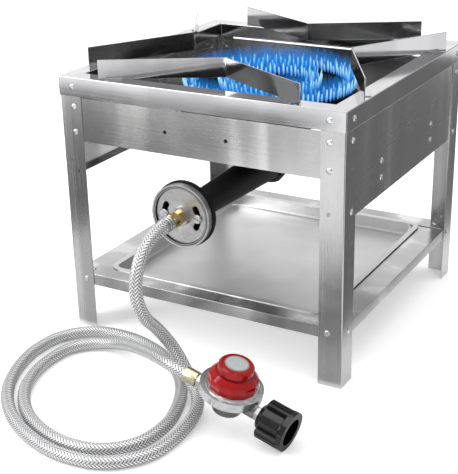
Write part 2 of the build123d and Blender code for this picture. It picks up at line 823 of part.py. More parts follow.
def make_cylinder_nut():
    """Moulded hand nut that spins on the inlet nipple, with ribbed lobes and a plain mouth collar."""
    front = nut_back + nut_length
    collar_back = front - nut_collar_length
    neck_front = nut_back + nut_neck_length
    nut = turned([(0, nut_back), (nut_neck_radius, nut_back), (nut_core_radius, neck_front),
                  (nut_core_radius, collar_back - nut_collar_slope), (nut_collar_radius, collar_back),
                  (nut_collar_radius, front), (0, front)])
    rib_height = nut_collar_radius - nut_core_radius / 2
    rib = Pos(nut_core_radius / 2, 0, neck_front) * Box(
        rib_height, nut_rib_width, collar_back - neck_front + nut_collar_length / 2,
        align=(Align.MIN, Align.CENTER, Align.MIN))
    for lobe in range(nut_lobes):
        for step in range(nut_ribs_per_lobe):
            offset = (step - (nut_ribs_per_lobe - 1) / 2) * nut_rib_step
            nut += Rot(0, 0, nut_lobe_angle + lobe * 360 / nut_lobes + offset) * rib
    bore_end = nut_back + nut_back_wall
    nut -= rod(nipple_radius + nut_running_clearance, nut_back, bore_end)
    nut -= rod(nut_counterbore_radius, bore_end, bore_end + nut_counterbore_length)
    nut -= rod(nut_socket_radius, bore_end + nut_counterbore_length, front)
    return gas_line * nut


# Hose route: the lead from the burner to the floor, the loops on the floor, the tail up to the regulator

lead_points = [
    (0, -hose_start, venturi_height),
    (0, -304, venturi_height),
    (1, -337, 187),
    (3, -351, 151),
    (7, -341, 116),
    (6, -312, 90),
    (21, -295, 55),
    (46, -303, 24),
    (74, -328, 13),
    (84, -369, hose_radius),
    (84, -410, hose_radius),
]
loop_radii = [80, 198, 73, 181, 69, 152]
tail_first_points = [
    (0, 24, 0),
    (10, 45, 0),
    (28, 60, 1),
    (51, 66, 4),
    (75, 61, 11),
    (103, 45, 22),
    (131, 24, 34),
    (156, 3, 46),
    (180, -14, 54),
]


def loop_arcs(start, radii):
    """Quarter turns clockwise on the floor, each tangent to the last, from a start heading towards -Y."""
    arcs = []
    place = Vector(*start)
    for turn, radius in enumerate(radii):
        heading_angle = math.radians(-90 - 90 * turn)
        to_centre = Vector(math.sin(heading_angle), -math.cos(heading_angle)) * radius
        centre = place + to_centre
        start_angle = math.degrees(math.atan2(-to_centre.Y, -to_centre.X))
        arc = CenterArc(centre, radius, start_angle, -90)
        arcs.append(arc)
        place = arc @ 1
    return arcs


def bend_radii(points):
    """Largest arc that each corner's two runs leave room for."""
    radii = []
    for before, corner, after in zip(points, points[1:], points[2:]):
        run_in = corner - before
        run_out = after - corner
        half_turn = math.radians(run_in.get_angle(run_out)) / 2
        radii.append(0.45 * min(run_in.length, run_out.length) / math.tan(half_turn))
    return radii


def hose_section(path):
    """Eight-sided section of the hose at the start of a path."""
    return Plane(origin=path @ 0, z_dir=path % 0) * RegularPolygon(hose_radius, hose_sides)


def tube(path):
    """Hose swept along a path."""
    return sweep(hose_section(path), path=path)


def report_tube(name, solid, path, radii):
    share = solid.volume / (hose_section(path).area * path.length)
    tightest = min(radii)
    print(f"{name}: length {path.length:.0f}, tightest radius {tightest:.0f}, volume share {share:.4f}")


def least_gap(paths):
    """Least clear gap between parts of the hose that lie more than six diameters apart along it."""
    points = []
    offset = 0.0
    for path in paths:
        count = int(path.length / 4)
        points += [(offset + path.length * step / count, path @ (step / count)) for step in range(count + 1)]
        offset += path.length
    gaps = []
    for index, (along, point) in enumerate(points):
        for other_along, other in points[index + 1:]:
            if other_along - along > 6 * hose_diameter:
                gaps.append((point - other).length)
    return min(gaps) - hose_diameter


def make_hose():
    lead_route = [Vector(*point) for point in lead_points]
    arcs = loop_arcs(lead_points[-1], loop_radii)
    loops_path = Wire(arcs)
    loops_end = arcs[-1] @ 1
    tail_route = [loops_end] + [loops_end + Vector(*point) for point in tail_first_points]
    tail_route += [regulator_point(-outlet_reach - hose_end_run), regulator_point(-hose_end)]
    lead_radii = bend_radii(lead_route)
    tail_radii = bend_radii(tail_route)
    lead_path = Wire(FilletPolyline(*lead_route, radius=lead_radii).edges())
    tail_path = Wire(FilletPolyline(*tail_route, radius=tail_radii).edges())
    lead = tube(lead_path)
    loops = tube(loops_path)
    tail = tube(tail_path)
    report_tube("hose_lead", lead, lead_path, lead_radii)
    report_tube("hose_loops", loops, loops_path, loop_radii)
    report_tube("hose_tail", tail, tail_path, tail_radii)
    gap = least_gap([lead_path, loops_path, tail_path])
    total = lead_path.length + loops_path.length + tail_path.length
    print(f"hose: whole length {total:.0f}, least gap to itself {gap:.2f}, wanted over {hose_gap_least}")
    return lead, loops, tail


def make_all():
    hose_lead, hose_loops, hose_tail = make_hose()
    nodes = {
        "top_frame": make_top_frame(),
        "leg_front_left": make_leg("front", "left"),
        "leg_front_right": make_leg("right", "front"),
        "leg_back_right": make_leg("back", "right"),
        "leg_back_left": make_leg("left", "back"),
        "frame_rivets": make_frame_rivets(),
        "shelf_rivets": make_shelf_rivets(),
        "bar_rivets": make_bar_rivets(),
        "drip_tray": make_drip_tray(),
        "burner_bar_front": make_burner_bar(-bar_offset),
        "burner_bar_back": make_burner_bar(bar_offset),
        "burner_bolts": make_burner_bolts(),
        "burner_head": make_burner_head(),
        "venturi_tube": make_venturi_tube(),
        "air_shutter": make_air_shutter(),
        "shutter_screws": make_shutter_screws(),
        "orifice_fitting": make_orifice_fitting(),
        "hose_swivel_nut": make_hose_swivel_nut(),
        "hose_ferrule_burner": make_hose_ferrule_burner(),
        "hose_lead": hose_lead,
        "hose_loops": hose_loops,
        "hose_tail": hose_tail,
        "hose_ferrule_regulator": make_hose_ferrule_regulator(),
        "outlet_nipple": make_outlet_nipple(),
        "regulator_body": make_regulator_body(),
        "diaphragm": make_diaphragm(),
        "diaphragm_plate": make_diaphragm_plate(),
        "regulator_bonnet": make_regulator_bonnet(),
        "clamp_ring": make_clamp_ring(),
        "adjusting_spring": make_adjusting_spring(),
        "spring_nut": make_spring_nut(),
        "adjusting_stem": make_adjusting_stem(),
        "regulator_knob": make_regulator_knob(),
        "knob_cap_disc": make_knob_cap_disc(),
        "inlet_nipple": make_inlet_nipple(),
        "cylinder_nut": make_cylinder_nut(),
    }
    for side in side_turns:
        nodes[f"{side}_apron"] = make_apron(side)
        nodes[f"pot_support_{side}"] = make_pot_support(side)
        nodes[f"shelf_rail_{side}"] = make_shelf_rail(side)
    return nodes


os.makedirs("parts", exist_ok=True)
for name, solid in make_all().items():
    export_step(solid, f"parts/{name}.step")
print("regulator line", [round(value, 5) for value in regulator_line])
print("regulator axis", [round(value, 5) for value in regulator_axis])
print("nut mouth", [round(value, 2) for value in regulator_point(nut_back + nut_length)])
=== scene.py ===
import math

import bpy
from mathutils import Matrix, Vector


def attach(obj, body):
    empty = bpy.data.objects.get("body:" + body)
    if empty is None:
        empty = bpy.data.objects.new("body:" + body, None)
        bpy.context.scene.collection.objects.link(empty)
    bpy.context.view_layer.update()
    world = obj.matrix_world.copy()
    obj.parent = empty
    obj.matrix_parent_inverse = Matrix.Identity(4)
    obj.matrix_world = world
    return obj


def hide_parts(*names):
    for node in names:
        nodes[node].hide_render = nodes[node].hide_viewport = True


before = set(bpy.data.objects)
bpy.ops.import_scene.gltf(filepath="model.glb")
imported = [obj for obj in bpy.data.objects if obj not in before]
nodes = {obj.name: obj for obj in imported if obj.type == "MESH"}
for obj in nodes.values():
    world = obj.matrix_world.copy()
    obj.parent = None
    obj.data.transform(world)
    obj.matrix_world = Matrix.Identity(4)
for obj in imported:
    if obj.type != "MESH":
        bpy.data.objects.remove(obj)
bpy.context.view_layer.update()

# Looks of the propane burner stove, in metres, in the frame of its solids.
# The front of the stand faces -Y, and the hose lies on the floor in front of it.

# Sizes repeated from the solids: the stand
half_width = 0.203
rim_height = 0.356
sheet = 0.0012
leg_face = half_width - sheet
apron_face = leg_face - sheet
fixing_line = 0.1815
rim_fixing_depth = 0.0125
upper_fixing_depth = 0.039
front_fixing_depth = 0.073
side_fixing_depth = 0.127
shelf_fixing_depth = 0.283
apron_hole_radius = 0.00225
apron_hole_spacing = 0.087
apron_hole_depth = 0.056
shelf_height = 0.081
front_rail_width = 0.031
bar_top = 0.274
bar_offset = 0.088
bar_wall = 0.002
bar_tab_drops = (0.009, 0.031)

# The burner, and the fittings in front of it by their distance from the stand's middle
venturi_height = 0.209
ridge_radii = (0.112, 0.064)
ridge_ports = (52, 30)
ridge_crest_level = 0.321
shutter_face = 0.2383
shutter_radius = 0.041
shutter_rim_width = 0.005
screw_spacing = 0.048
swivel_hex = 0.018
swivel_back = 0.2531
swivel_front = 0.2651
ferrule_front = 0.2811

# The hose and the regulator
hose_radius = 0.008
hose_end_run = 0.040
ferrule_radius = 0.0097
ferrule_wall = 0.004
outlet_reach = 0.044
outlet_ferrule_length = 0.018
regulator_centre = Vector((0.1259, -0.3483, 0.0442))
regulator_heading = math.radians(-3.2)
regulator_pitch = math.radians(14.0)
regulator_line = Vector((math.cos(regulator_pitch) * math.cos(regulator_heading),
                         math.cos(regulator_pitch) * math.sin(regulator_heading),
                         -math.sin(regulator_pitch)))
knob_axis = Vector((math.sin(regulator_pitch) * math.cos(regulator_heading),
                    math.sin(regulator_pitch) * math.sin(regulator_heading),
                    math.cos(regulator_pitch)))


# Shader helpers

# Sockets of the mix node that serve colours; their names repeat, so they go by number
mix_factor = 0
mix_first_colour = 6
mix_second_colour = 7
mix_colour = 2


def new_material(name):
    """A new material, its node tree and its shader."""
    material = bpy.data.materials.new(name)
    material.use_nodes = True
    tree = material.node_tree
    return material, tree, tree.nodes["Principled BSDF"]


def coordinates(tree, stretch, source="Object"):
    """Surface coordinates scaled along each axis."""
    place = tree.nodes.new("ShaderNodeTexCoord")
    mapping = tree.nodes.new("ShaderNodeMapping")
    mapping.inputs["Scale"].default_value = stretch
    tree.links.new(place.outputs[source], mapping.inputs["Vector"])
    return mapping.outputs["Vector"]


def noise(tree, grains, detail=3.0, roughness=0.55):
    """Fractal noise by its grains per metre, one number or one for each axis."""
    stretch = (grains, grains, grains) if isinstance(grains, float) else grains
    texture = tree.nodes.new("ShaderNodeTexNoise")
    texture.inputs["Scale"].default_value = 1.0
    texture.inputs["Detail"].default_value = detail
    texture.inputs["Roughness"].default_value = roughness
    tree.links.new(coordinates(tree, stretch), texture.inputs["Vector"])
    return texture.outputs["Fac"]


def remap(tree, value, low, high, start=0.3, end=0.7):
    """The range start to end of a value, carried to low to high."""
    node = tree.nodes.new("ShaderNodeMapRange")
    node.inputs["From Min"].default_value = start
    node.inputs["From Max"].default_value = end
    node.inputs["To Min"].default_value = low
    node.inputs["To Max"].default_value = high
    tree.links.new(value, node.inputs["Value"])
    return node.outputs["Result"]


def calculate(tree, operation, first, second=None):
    """One math node; each operand is a socket or a number."""
    node = tree.nodes.new("ShaderNodeMath")
    node.operation = operation
    for socket, operand in zip(node.inputs, (first, second)):
        if operand is None:
            continue
        if isinstance(operand, (int, float)):
            socket.default_value = operand
        else:
            tree.links.new(operand, socket)
    return node.outputs["Value"]


def blend_colours(tree, factor, first, second):
    """Colour between two others, each a triple or a socket."""
    node = tree.nodes.new("ShaderNodeMix")
    node.data_type = "RGBA"
    tree.links.new(factor, node.inputs[mix_factor])
    for number, colour in ((mix_first_colour, first), (mix_second_colour, second)):
        if isinstance(colour, tuple):
            node.inputs[number].default_value = (*colour, 1.0)
        else:
            tree.links.new(colour, node.inputs[number])
    return node.outputs[mix_colour]


def add_bump(tree, shader, height, strength, distance):
    """Fine relief that follows a height."""
    bump = tree.nodes.new("ShaderNodeBump")
    bump.inputs["Strength"].default_value = strength
    bump.inputs["Distance"].default_value = distance
    tree.links.new(height, bump.inputs["Height"])
    tree.links.new(bump.outputs["Normal"], shader.inputs["Normal"])


def scaled(colour, factor):
    """A colour made darker or paler."""
    return tuple(channel * factor for channel in colour)


def distance_from_axis(tree, centre, axis):
    """Distance of the surface from a line through a point."""
    place = tree.nodes.new("ShaderNodeTexCoord")
    offset = tree.nodes.new("ShaderNodeVectorMath")
    offset.operation = "SUBTRACT"
    offset.inputs[1].default_value = centre
    tree.links.new(place.outputs["Object"], offset.inputs[0])
    cross = tree.nodes.new("ShaderNodeVectorMath")
    cross.operation = "CROSS_PRODUCT"
    cross.inputs[1].default_value = axis
    tree.links.new(offset.outputs["Vector"], cross.inputs[0])
    length = tree.nodes.new("ShaderNodeVectorMath")
    length.operation = "LENGTH"
    tree.links.new(cross.outputs["Vector"], length.inputs[0])
    return length.outputs["Value"]


# Materials

def brushed_metal(name, colour, brush_axis, smooth, rough, reflection_banding=0.8):
    """Sheet metal brushed along one axis, with upright pale and dark stripes of painted reflection and faint
    handling smudges.
    """
    contrast = 0.06
    fine_share = 0.7
    fine_grains = [1900.0, 1900.0, 1900.0]
    broad_grains = [420.0, 420.0, 420.0]
    fine_grains[brush_axis] = 5.0
    broad_grains[brush_axis] = 1.6
    # Upright stripes painted pale and dark into the colour, standing in for reflections of the surroundings
    reflection_band_grains = (17.0, 17.0, 1.2)
    pale_painted_reflection = scaled(colour, 1.7)
    dark_painted_reflection = scaled(colour, 0.70)
    smudged = scaled(colour, 0.86)
    material, tree, shader = new_material(name)
    fine = noise(tree, fine_grains, detail=2.0)
    broad = noise(tree, broad_grains, detail=2.0)
    reflection_band_noise = noise(tree, reflection_band_grains, detail=1.5)
    smudge = noise(tree, 13.0, detail=5.0, roughness=0.6)
    streaks = calculate(
        tree, "ADD",
        calculate(tree, "MULTIPLY", fine, fine_share),
        calculate(tree, "MULTIPLY", broad, 1 - fine_share))
    steel = blend_colours(tree, remap(tree, streaks, 0.0, 1.0), scaled(colour, 1 - contrast), colour)
    # Painted reflections laid over the grain: pale stripes first, then dark ones
    paler = blend_colours(tree, remap(tree, reflection_band_noise, reflection_banding, 0.0, 0.38, 0.46), steel, pale_painted_reflection)
    with_painted_reflections = blend_colours(tree, remap(tree, reflection_band_noise, 0.0, reflection_banding, 0.48, 0.66), paler, dark_painted_reflection)
    tone = blend_colours(tree, remap(tree, smudge, 0.0, 0.4, 0.48, 0.72), with_painted_reflections, smudged)
    tree.links.new(tone, shader.inputs["Base Color"])
    gloss = remap(tree, streaks, smooth, rough)
    dull = remap(tree, smudge, 0.0, 0.06, 0.45, 0.75)
    tree.links.new(calculate(tree, "ADD", gloss, dull), shader.inputs["Roughness"])
    shader.inputs["Metallic"].default_value = 1.0
    add_bump(tree, shader, streaks, 0.02, 0.0001)
    return material


def cast_metal(name, colour, metallic, smooth, rough, grain, bump, depth, specular=0.5):
    """Sand-cast skin: pitted grain, with low places darker than high ones, and darker stains."""
    pits_across_stain = 14
    material, tree, shader = new_material(name)
    pits = noise(tree, grain, detail=4.0, roughness=0.62)
    clouds = noise(tree, grain / pits_across_stain, detail=4.0)
    skin = blend_colours(tree, remap(tree, pits, 0.0, 1.0, 0.32, 0.62), scaled(colour, 0.62), colour)
    stained = blend_colours(tree, remap(tree, clouds, 0.0, 0.55, 0.45, 0.7), skin, scaled(colour, 0.7))
    tree.links.new(stained, shader.inputs["Base Color"])
    tree.links.new(remap(tree, pits, rough, smooth), shader.inputs["Roughness"])
    shader.inputs["Metallic"].default_value = metallic
    shader.inputs["Specular IOR Level"].default_value = specular
    add_bump(tree, shader, pits, bump, depth)
    return material


def machined_metal(name, colour, smooth, rough, metallic=1.0):
    """Turned or plated metal with fine tool marks and soft tarnish."""
    material, tree, shader = new_material(name)
    marks = noise(tree, 900.0, detail=2.0)
    tarnish = noise(tree, 90.0, detail=5.0, roughness=0.6)
    tone = blend_colours(tree, remap(tree, tarnish, 0.0, 1.0, 0.35, 0.7), colour, scaled(colour, 0.72))
    tree.links.new(tone, shader.inputs["Base Color"])
    gloss = calculate(tree, "ADD", remap(tree, tarnish, smooth, rough), remap(tree, marks, -0.03, 0.05))
    tree.links.new(gloss, shader.inputs["Roughness"])
    shader.inputs["Metallic"].default_value = metallic
    add_bump(tree, shader, marks, 0.06, 0.0001)
    return material


def moulded_plastic(name, colour, smooth, rough, grain, coat=0.0):
    """Moulded plastic with a fine grain and faint scuffs."""
    material, tree, shader = new_material(name)
    texture = noise(tree, grain, detail=3.0)
    scuffs = noise(tree, 120.0, detail=6.0, roughness=0.7)
    tone = blend_colours(tree, remap(tree, scuffs, 0.0, 1.0, 0.35, 0.75), colour, scaled(colour, 1.15))
    tree.links.new(tone, shader.inputs["Base Color"])
    tree.links.new(remap(tree, scuffs, smooth, rough, 0.35, 0.7), shader.inputs["Roughness"])
    shader.inputs["Coat Weight"].default_value = coat
    shader.inputs["Coat Roughness"].default_value = 0.12
    add_bump(tree, shader, texture, 0.10, 0.0002)
    return material


# Strands of each family around the hose, the hose's length for each, and the wires in a strand
braid_carriers = 12
braid_pitch = 0.0042
braid_wires = 4
# The weave comes again after four crossings, and in the first two the right-hand strand is on top
braid_repeat = 4
braid_over_limit = 1.5


def braided_wire(name):
    """Wire braid: two families of flat strands, each over two and under two of the other, with a painted
    highlight on the wires' crowns and painted shade on their sides, on the right-hand strands and in the
    gaps.

    The skin's coordinates are turns around the hose and pitches along it.
    """
    # Painted light on the wires: highlight on the crowns, shade on the sides
    shaded_wire_side = (0.70, 0.70, 0.71)
    highlighted_wire_crown = (1.0, 1.0, 1.0)
    tarnished = (0.80, 0.80, 0.81)
    shaded_right_hand_strand = (0.66, 0.66, 0.67)
    shaded_gap = (0.012, 0.012, 0.014)
    material, tree, shader = new_material(name)
    split = tree.nodes.new("ShaderNodeSeparateXYZ")
    tree.links.new(coordinates(tree, (braid_carriers, 1.0, 1.0), "UV"), split.inputs["Vector"])
    right_hand = calculate(tree, "ADD", split.outputs["X"], split.outputs["Y"])
    left_hand = calculate(tree, "SUBTRACT", split.outputs["X"], split.outputs["Y"])
    crossing = calculate(
        tree, "ADD", calculate(tree, "FLOOR", right_hand), calculate(tree, "FLOOR", left_hand))
    phase = calculate(tree, "FLOORED_MODULO", crossing, braid_repeat)
    over = calculate(tree, "LESS_THAN", phase, braid_over_limit)
    under = calculate(tree, "SUBTRACT", 1.0, over)
    across = calculate(
        tree, "ADD",
        calculate(tree, "MULTIPLY", over, calculate(tree, "FRACT", right_hand)),
        calculate(tree, "MULTIPLY", under, calculate(tree, "FRACT", left_hand)))
    wave = calculate(tree, "SINE", calculate(tree, "MULTIPLY", across, 2 * math.pi * braid_wires))
    centred = calculate(tree, "ABSOLUTE", calculate(tree, "SUBTRACT", across, 0.5))
    edge = remap(tree, centred, 0.0, 1.0, 0.27, 0.38)
    tarnish = noise(tree, 70.0, detail=4.0)
    bright = blend_colours(tree, remap(tree, wave, 0.0, 1.0, -1.0, 1.0), shaded_wire_side, highlighted_wire_crown)
    aged = blend_colours(tree, remap(tree, tarnish, 0.0, 0.20), bright, tarnished)
    # Where a right-hand strand is on top it takes a flat, darker tone: painted shade
    strands = blend_colours(tree, over, aged, shaded_right_hand_strand)
    # The gaps between strands are painted near-black as shade
    tree.links.new(blend_colours(tree, edge, strands, shaded_gap), shader.inputs["Base Color"])
    tree.links.new(remap(tree, tarnish, 0.26, 0.40), shader.inputs["Roughness"])
    shader.inputs["Metallic"].default_value = 0.4
    height = calculate(tree, "SUBTRACT", calculate(tree, "MULTIPLY", wave, 0.3), edge)
    add_bump(tree, shader, height, 0.3, 0.0003)
    return material


def grooved_casting(name, colour, centre, axis, grooves):
    """Cast disc, rubbed bright, with dark lines of painted shade where turned grooves sit, at some distances
    from its axis.
    """
    groove_half = 0.0008
    groove_painted_shade = scaled(colour, 0.12)
    material, tree, shader = new_material(name)
    radius = distance_from_axis(tree, centre, axis)
    pits = noise(tree, 900.0, detail=4.0, roughness=0.62)
    rubbed = noise(tree, 60.0, detail=4.0)
    skin = blend_colours(tree, remap(tree, pits, 0.0, 1.0, 0.32, 0.62), scaled(colour, 0.62), colour)
    skin = blend_colours(tree, remap(tree, rubbed, 0.0, 0.6, 0.45, 0.7), skin, scaled(colour, 1.25))
    # Each groove is only a dark line of painted shade in the colour, with no relief
    for groove in grooves:
        away = calculate(tree, "ABSOLUTE", calculate(tree, "SUBTRACT", radius, groove))
        inside = remap(tree, away, 1.0, 0.0, groove_half / 2, groove_half)
        skin = blend_colours(tree, inside, skin, groove_painted_shade)
    tree.links.new(skin, shader.inputs["Base Color"])
    tree.links.new(remap(tree, pits, 0.46, 0.24), shader.inputs["Roughness"])
    shader.inputs["Metallic"].default_value = 1.0
    add_bump(tree, shader, pits, 0.2, 0.0003)
    return material


def ringed_disc(name, colour, centre, axis):
    """Satin disc with a darker border and rings turned into it around its own axis."""
    ring_rate = 9000.0
    border_start = 0.0124
    border_full = 0.0128
    material, tree, shader = new_material(name)
    radius = distance_from_axis(tree, centre, axis)
    rings = calculate(tree, "SINE", calculate(tree, "MULTIPLY", radius, ring_rate))
    grain = noise(tree, 400.0, detail=3.0)
    border = remap(tree, radius, 0.0, 1.0, border_start, border_full)
    tone = blend_colours(tree, remap(tree, grain, 0.0, 1.0), scaled(colour, 0.88), colour)
    tree.links.new(blend_colours(tree, border, tone, scaled(colour, 0.55)), shader.inputs["Base Color"])
    tree.links.new(remap(tree, rings, 0.26, 0.40, -1.0, 1.0), shader.inputs["Roughness"])
    shader.inputs["Metallic"].default_value = 0.55
    add_bump(tree, shader, rings, 0.05, 0.0001)
    return material


def flame_gas(name, low, high, foot, tip, density, fade):
    """Burning gas: one blue at the ports, another above, fading out at the tips."""
    material, tree, shader = new_material(name)
    split = tree.nodes.new("ShaderNodeSeparateXYZ")
    tree.links.new(coordinates(tree, (1.0, 1.0, 1.0)), split.inputs["Vector"])
    level = remap(tree, split.outputs["Z"], 0.0, 1.0, low, high)
    flicker = noise(tree, (260.0, 260.0, 70.0), detail=2.0)
    wavering = calculate(tree, "ADD", level, remap(tree, flicker, -0.12, 0.12))
    blue = blend_colours(tree, remap(tree, wavering, 0.0, 1.0, 0.05, 0.7), foot, tip)
    tree.links.new(blue, shader.inputs["Emission Color"])
    shader.inputs["Emission Strength"].default_value = 1.0
    shader.inputs["Base Color"].default_value = (0.0, 0.02, 0.06, 1.0)
    shader.inputs["Roughness"].default_value = 0.9
    shader.inputs["Specular IOR Level"].default_value = 0.0
    tree.links.new(remap(tree, wavering, density, 0.0, *fade), shader.inputs["Alpha"])
    return material


# Mesh helpers

# Sides of the round forms
rivet_sides = 20
ferrule_sides = 48
nut_sides = 72
tongue_sides = 8
haze_sides = 360


def mesh_object(name, vertices, faces, material, smooth=True):
    """A mesh in the scene with one material."""
    mesh = bpy.data.meshes.new(name)
    mesh.from_pydata(vertices, [], faces)
    mesh.update()
    if smooth:
        mesh.shade_smooth()
    mesh.materials.append(material)
    item = bpy.data.objects.new(name, mesh)
    bpy.context.scene.collection.objects.link(item)
    return item


def band_faces(rings, sides, start=0):
    """Faces between rings of vertices that follow each other from a start."""
    faces = []
    for ring in range(rings - 1):
        here = start + ring * sides
        above = here + sides
        for step in range(sides):
            follow = (step + 1) % sides
            faces.append((here + step, here + follow, above + follow, above + step))
    return faces


def lathe(profile, sides, wobble=None):
    """Vertices and faces of a closed turned form; the profile's first and last radius is zero."""
    vertices = [(0.0, 0.0, profile[0][1])]
    for ring, (radius, level) in enumerate(profile[1:-1]):
        for step in range(sides):
            angle = 2 * math.pi * step / sides
            reach = radius if wobble is None else radius * wobble(ring, angle)
            vertices.append((reach * math.cos(angle), reach * math.sin(angle), level))
    vertices.append((0.0, 0.0, profile[-1][1]))
    last = len(vertices) - 1
    top = last - sides
    faces = band_faces(len(profile) - 2, sides, start=1)
    for step in range(sides):
        follow = (step + 1) % sides
        faces.append((0, 1 + follow, 1 + step))
        faces.append((top + step, top + follow, last))
    return vertices, faces


def repeated(form, places):
    """One mesh of a form set at many places."""
    vertices = []
    faces = []
    points, polygons = form
    for place in places:
        start = len(vertices)
        vertices += [place @ Vector(point) for point in points]
        faces += [tuple(start + index for index in polygon) for polygon in polygons]
    return vertices, faces


def soften(item):
    """Sharp creases kept, gentle ones smoothed."""
    limit = math.radians(35)
    item.data.shade_smooth()
    sharp = item.data.attributes.new("sharp_edge", "BOOLEAN", "EDGE")
    faces_of_edge = {}
    for polygon in item.data.polygons:
        for key in polygon.edge_keys:
            faces_of_edge.setdefault(key, []).append(polygon.normal)
    for edge in item.data.edges:
        normals = faces_of_edge.get(edge.key, [])
        if len(normals) == 2 and normals[0].angle(normals[1], 0.0) > limit:
            sharp.data[edge.index].value = True


# Camera

def make_camera():
    """Camera fitted to the photograph's corners of the stand."""
    place = (0.6768, -1.2977, 0.6923)
    azimuth = math.radians(29.920)
    elevation = math.radians(22.21)
    roll = math.radians(-1.249)
    back = Vector((math.sin(azimuth) * math.cos(elevation),
                   -math.cos(azimuth) * math.cos(elevation),
                   math.sin(elevation)))
    right = Vector((math.cos(azimuth), math.sin(azimuth), 0.0))
    up = back.cross(right)
    tilted_right = right * math.cos(roll) + up * math.sin(roll)
    tilted_up = up * math.cos(roll) - right * math.sin(roll)
    data = bpy.data.cameras.new("camera")
    data.lens = 83.11
    data.sensor_width = 36.0
    camera = bpy.data.objects.new("camera", data)
    bpy.context.scene.collection.objects.link(camera)
    turn = Matrix((tilted_right, tilted_up, back)).transposed().to_4x4()
    camera.matrix_world = Matrix.Translation(place) @ turn
    bpy.context.scene.camera = camera


# Hose: its route, as in the solids, and its braid

hose_lead = [
    (0.0, -0.2691, 0.209),
    (0.0, -0.304, 0.209),
    (0.001, -0.337, 0.187),
    (0.003, -0.351, 0.151),
    (0.007, -0.341, 0.116),
    (0.006, -0.312, 0.090),
    (0.021, -0.295, 0.055),
    (0.046, -0.303, 0.024),
    (0.074, -0.328, 0.013),
    (0.084, -0.369, 0.008),
]
loop_start = (0.084, -0.410)
loop_radii = [0.080, 0.198, 0.073, 0.181, 0.069, 0.152]
loop_points_per_quarter = 4
hose_tail = [
    (-0.161, -0.293, 0.008),
    (-0.151, -0.272, 0.008),
    (-0.133, -0.257, 0.009),
    (-0.110, -0.251, 0.012),
    (-0.086, -0.256, 0.019),
    (-0.058, -0.272, 0.030),
    (-0.030, -0.293, 0.042),
    (-0.005, -0.314, 0.054),
    (0.019, -0.331, 0.062),
    tuple(regulator_centre - regulator_line * (outlet_reach + hose_end_run)),
    tuple(regulator_centre - regulator_line * (outlet_reach + ferrule_wall)),
]
braid_around = 60
rings_per_pitch = 4
braid_relief = 0.00040


def loop_points():
    """Control points of the clockwise quarter turns on the floor, just outside each arc."""
    points = []
    place = Vector(loop_start)
    step = math.pi / 2 / loop_points_per_quarter
    for turn, radius in enumerate(loop_radii):
        first_angle = -math.pi / 2 * turn
        centre = place - Vector((math.cos(first_angle), math.sin(first_angle))) * radius
        reach = radius / math.cos(step / 2)
        for index in range(loop_points_per_quarter):
            angle = first_angle - (index + 0.5) * step
            x = centre.x + reach * math.cos(angle)
            y = centre.y + reach * math.sin(angle)
            points.append((x, y, hose_radius))
        end_angle = first_angle - math.pi / 2
        place = centre + Vector((math.cos(end_angle), math.sin(end_angle))) * radius
    return points


def spline_points(points):
    """Points read from the smooth curve that has the route's points as its control points."""
    curve = bpy.data.curves.new("hose_route", "CURVE")
    curve.dimensions = "3D"
    curve.resolution_u = 24
    spline = curve.splines.new("NURBS")
    spline.points.add(len(points) - 1)
    for control, point in zip(spline.points, points):
        control.co = (*point, 1.0)
    spline.order_u = 3
    spline.use_endpoint_u = True
    carrier = bpy.data.objects.new("hose_route", curve)
    bpy.context.scene.collection.objects.link(carrier)
    bpy.context.view_layer.update()
    line = bpy.data.meshes.new_from_object(carrier)
    read = [vertex.co.copy() for vertex in line.vertices]
    bpy.data.objects.remove(carrier)
    bpy.data.meshes.remove(line)
    return read


def even_points(points, spacing):
    """The same line with its points evenly spaced, and its length."""
    lengths = [0.0]
    for before, after in zip(points, points[1:]):
        lengths.append(lengths[-1] + (after - before).length)
    total = lengths[-1]
    count = round(total / spacing)
    even = []
    index = 0
    for step in range(count + 1):
        along = total * step / count
        while index < len(points) - 2 and lengths[index + 1] < along:
            index += 1
        span = lengths[index + 1] - lengths[index]
        share = (along - lengths[index]) / span
        even.append(points[index].lerp(points[index + 1], min(share, 1.0)))
    return even, total


def braid_height(turns, pitches):
    """Height of the braid over the hose's core at a place on its skin."""
    right_hand = braid_carriers * turns + pitches
    left_hand = braid_carriers * turns - pitches
    over = (math.floor(right_hand) + math.floor(left_hand)) % braid_repeat < braid_over_limit
    across = (right_hand if over else left_hand) % 1.0
    crown = 1.0 - (2.0 * across - 1.0) ** 2
    return braid_relief * crown


def braid_place(step, index):
    """Turns around the hose and pitches along it at a vertex, half a step off the strands' edges."""
    return (step + 0.5) / braid_around, (index + 0.5) / rings_per_pitch


def hose_skin(line):
    """Vertices of the braided skin, ring by ring along the hose's middle line."""
    vertices = []
    side = Vector((1.0, 0.0, 0.0))
    core = hose_radius - braid_relief
    for index, point in enumerate(line):
        before = line[max(index - 1, 0)]
        after = line[min(index + 1, len(line) - 1)]
        forward = (after - before).normalized()
        side = (side - forward * side.dot(forward)).normalized()
        third = forward.cross(side)
        for step in range(braid_around):
            turns, pitches = braid_place(step, index)
            reach = core + braid_height(turns, pitches)
            angle = 2 * math.pi * turns
            vertices.append(point + (side * math.cos(angle) + third * math.sin(angle)) * reach)
    return vertices


def lay_braid(hose, side_faces):
    """Braid coordinates on the hose's side faces, which come before its two ends."""
    layer = hose.data.uv_layers.new(name="braid")
    for number, polygon in enumerate(hose.data.polygons[:side_faces]):
        index, step = divmod(number, braid_around)
        corners = ((step, index), (step + 1, index), (step + 1, index + 1), (step, index + 1))
        for loop, (around, ring) in zip(polygon.loop_indices, corners):
            layer.data[loop].uv = braid_place(around, ring)


